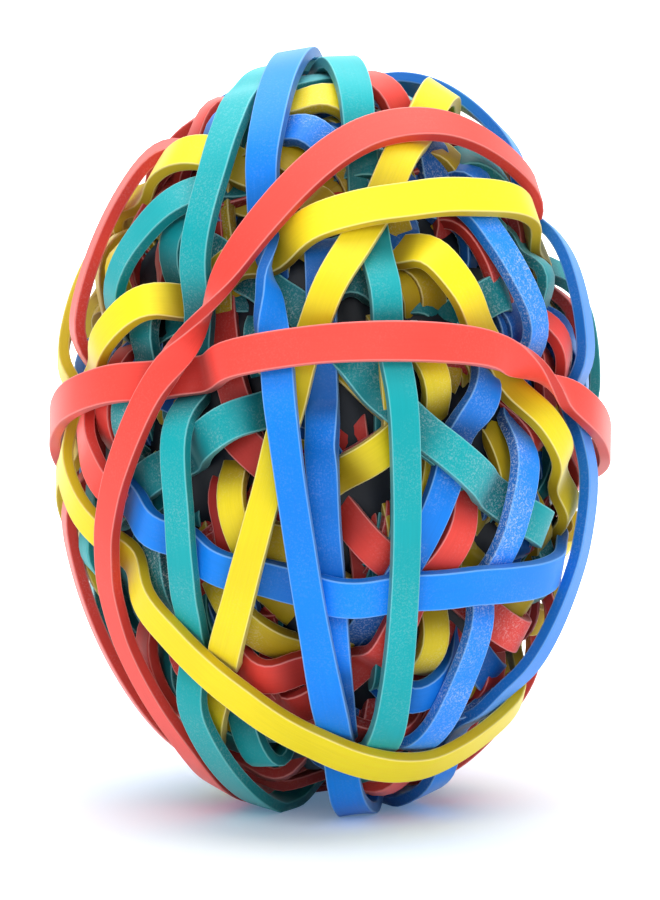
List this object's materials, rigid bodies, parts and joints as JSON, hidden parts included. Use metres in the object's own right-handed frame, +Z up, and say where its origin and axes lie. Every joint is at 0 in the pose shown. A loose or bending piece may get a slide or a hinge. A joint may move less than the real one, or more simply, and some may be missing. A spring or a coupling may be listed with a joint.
{
  "type": "rubber band ball",
  "caption": "Egg-shaped ball of flat coloured rubber bands wound over one another, standing upright on a small pressed spot.",
  "frame": {"origin": "on the floor, under the middle of the ball", "axes": "+Z up along the ball's longest axis, -Y towards the side that the picture shows, +X to that view's right"},
  "size_m": [0.0564, 0.0564, 0.0765],
  "materials": {
    "rubber_red": "matt red rubber",
    "rubber_yellow": "matt yellow rubber",
    "rubber_teal": "matt teal rubber",
    "rubber_blue": "matt blue rubber",
    "rubber_inner": "matt mixed rubber in shade"
  },
  "bodies": {
    "root": {"blue_across": "rubber_blue", "blue_curve_right": "rubber_blue", "blue_edge_right": "rubber_blue", "blue_inner_slant": "rubber_blue", "blue_shoulder_right": "rubber_blue", "blue_side_right": "rubber_blue", "blue_upright_left": "rubber_blue", "blue_upright_middle": "rubber_blue", "inner_winding": "rubber_inner", "red_across": "rubber_red", "red_inner_middle": "rubber_red", "red_inner_upright_left": "rubber_red", "red_loop_right": "rubber_red", "red_shoulder_left": "rubber_red", "red_shoulder_right": "rubber_red", "red_side_left": "rubber_red", "red_slant_outer": "rubber_red", "red_slant_right": "rubber_red", "teal_brow": "rubber_teal", "teal_rise": "rubber_teal", "teal_shoulder_left": "rubber_teal", "teal_slant_right": "rubber_teal", "teal_upright_broad": "rubber_teal", "teal_upright_left": "rubber_teal", "teal_upright_right": "rubber_teal", "yellow_brow_left": "rubber_yellow", "yellow_curve_right": "rubber_yellow", "yellow_high": "rubber_yellow", "yellow_low": "rubber_yellow", "yellow_slant": "rubber_yellow", "yellow_upright_left": "rubber_yellow"}
  },
  "joints": []
}
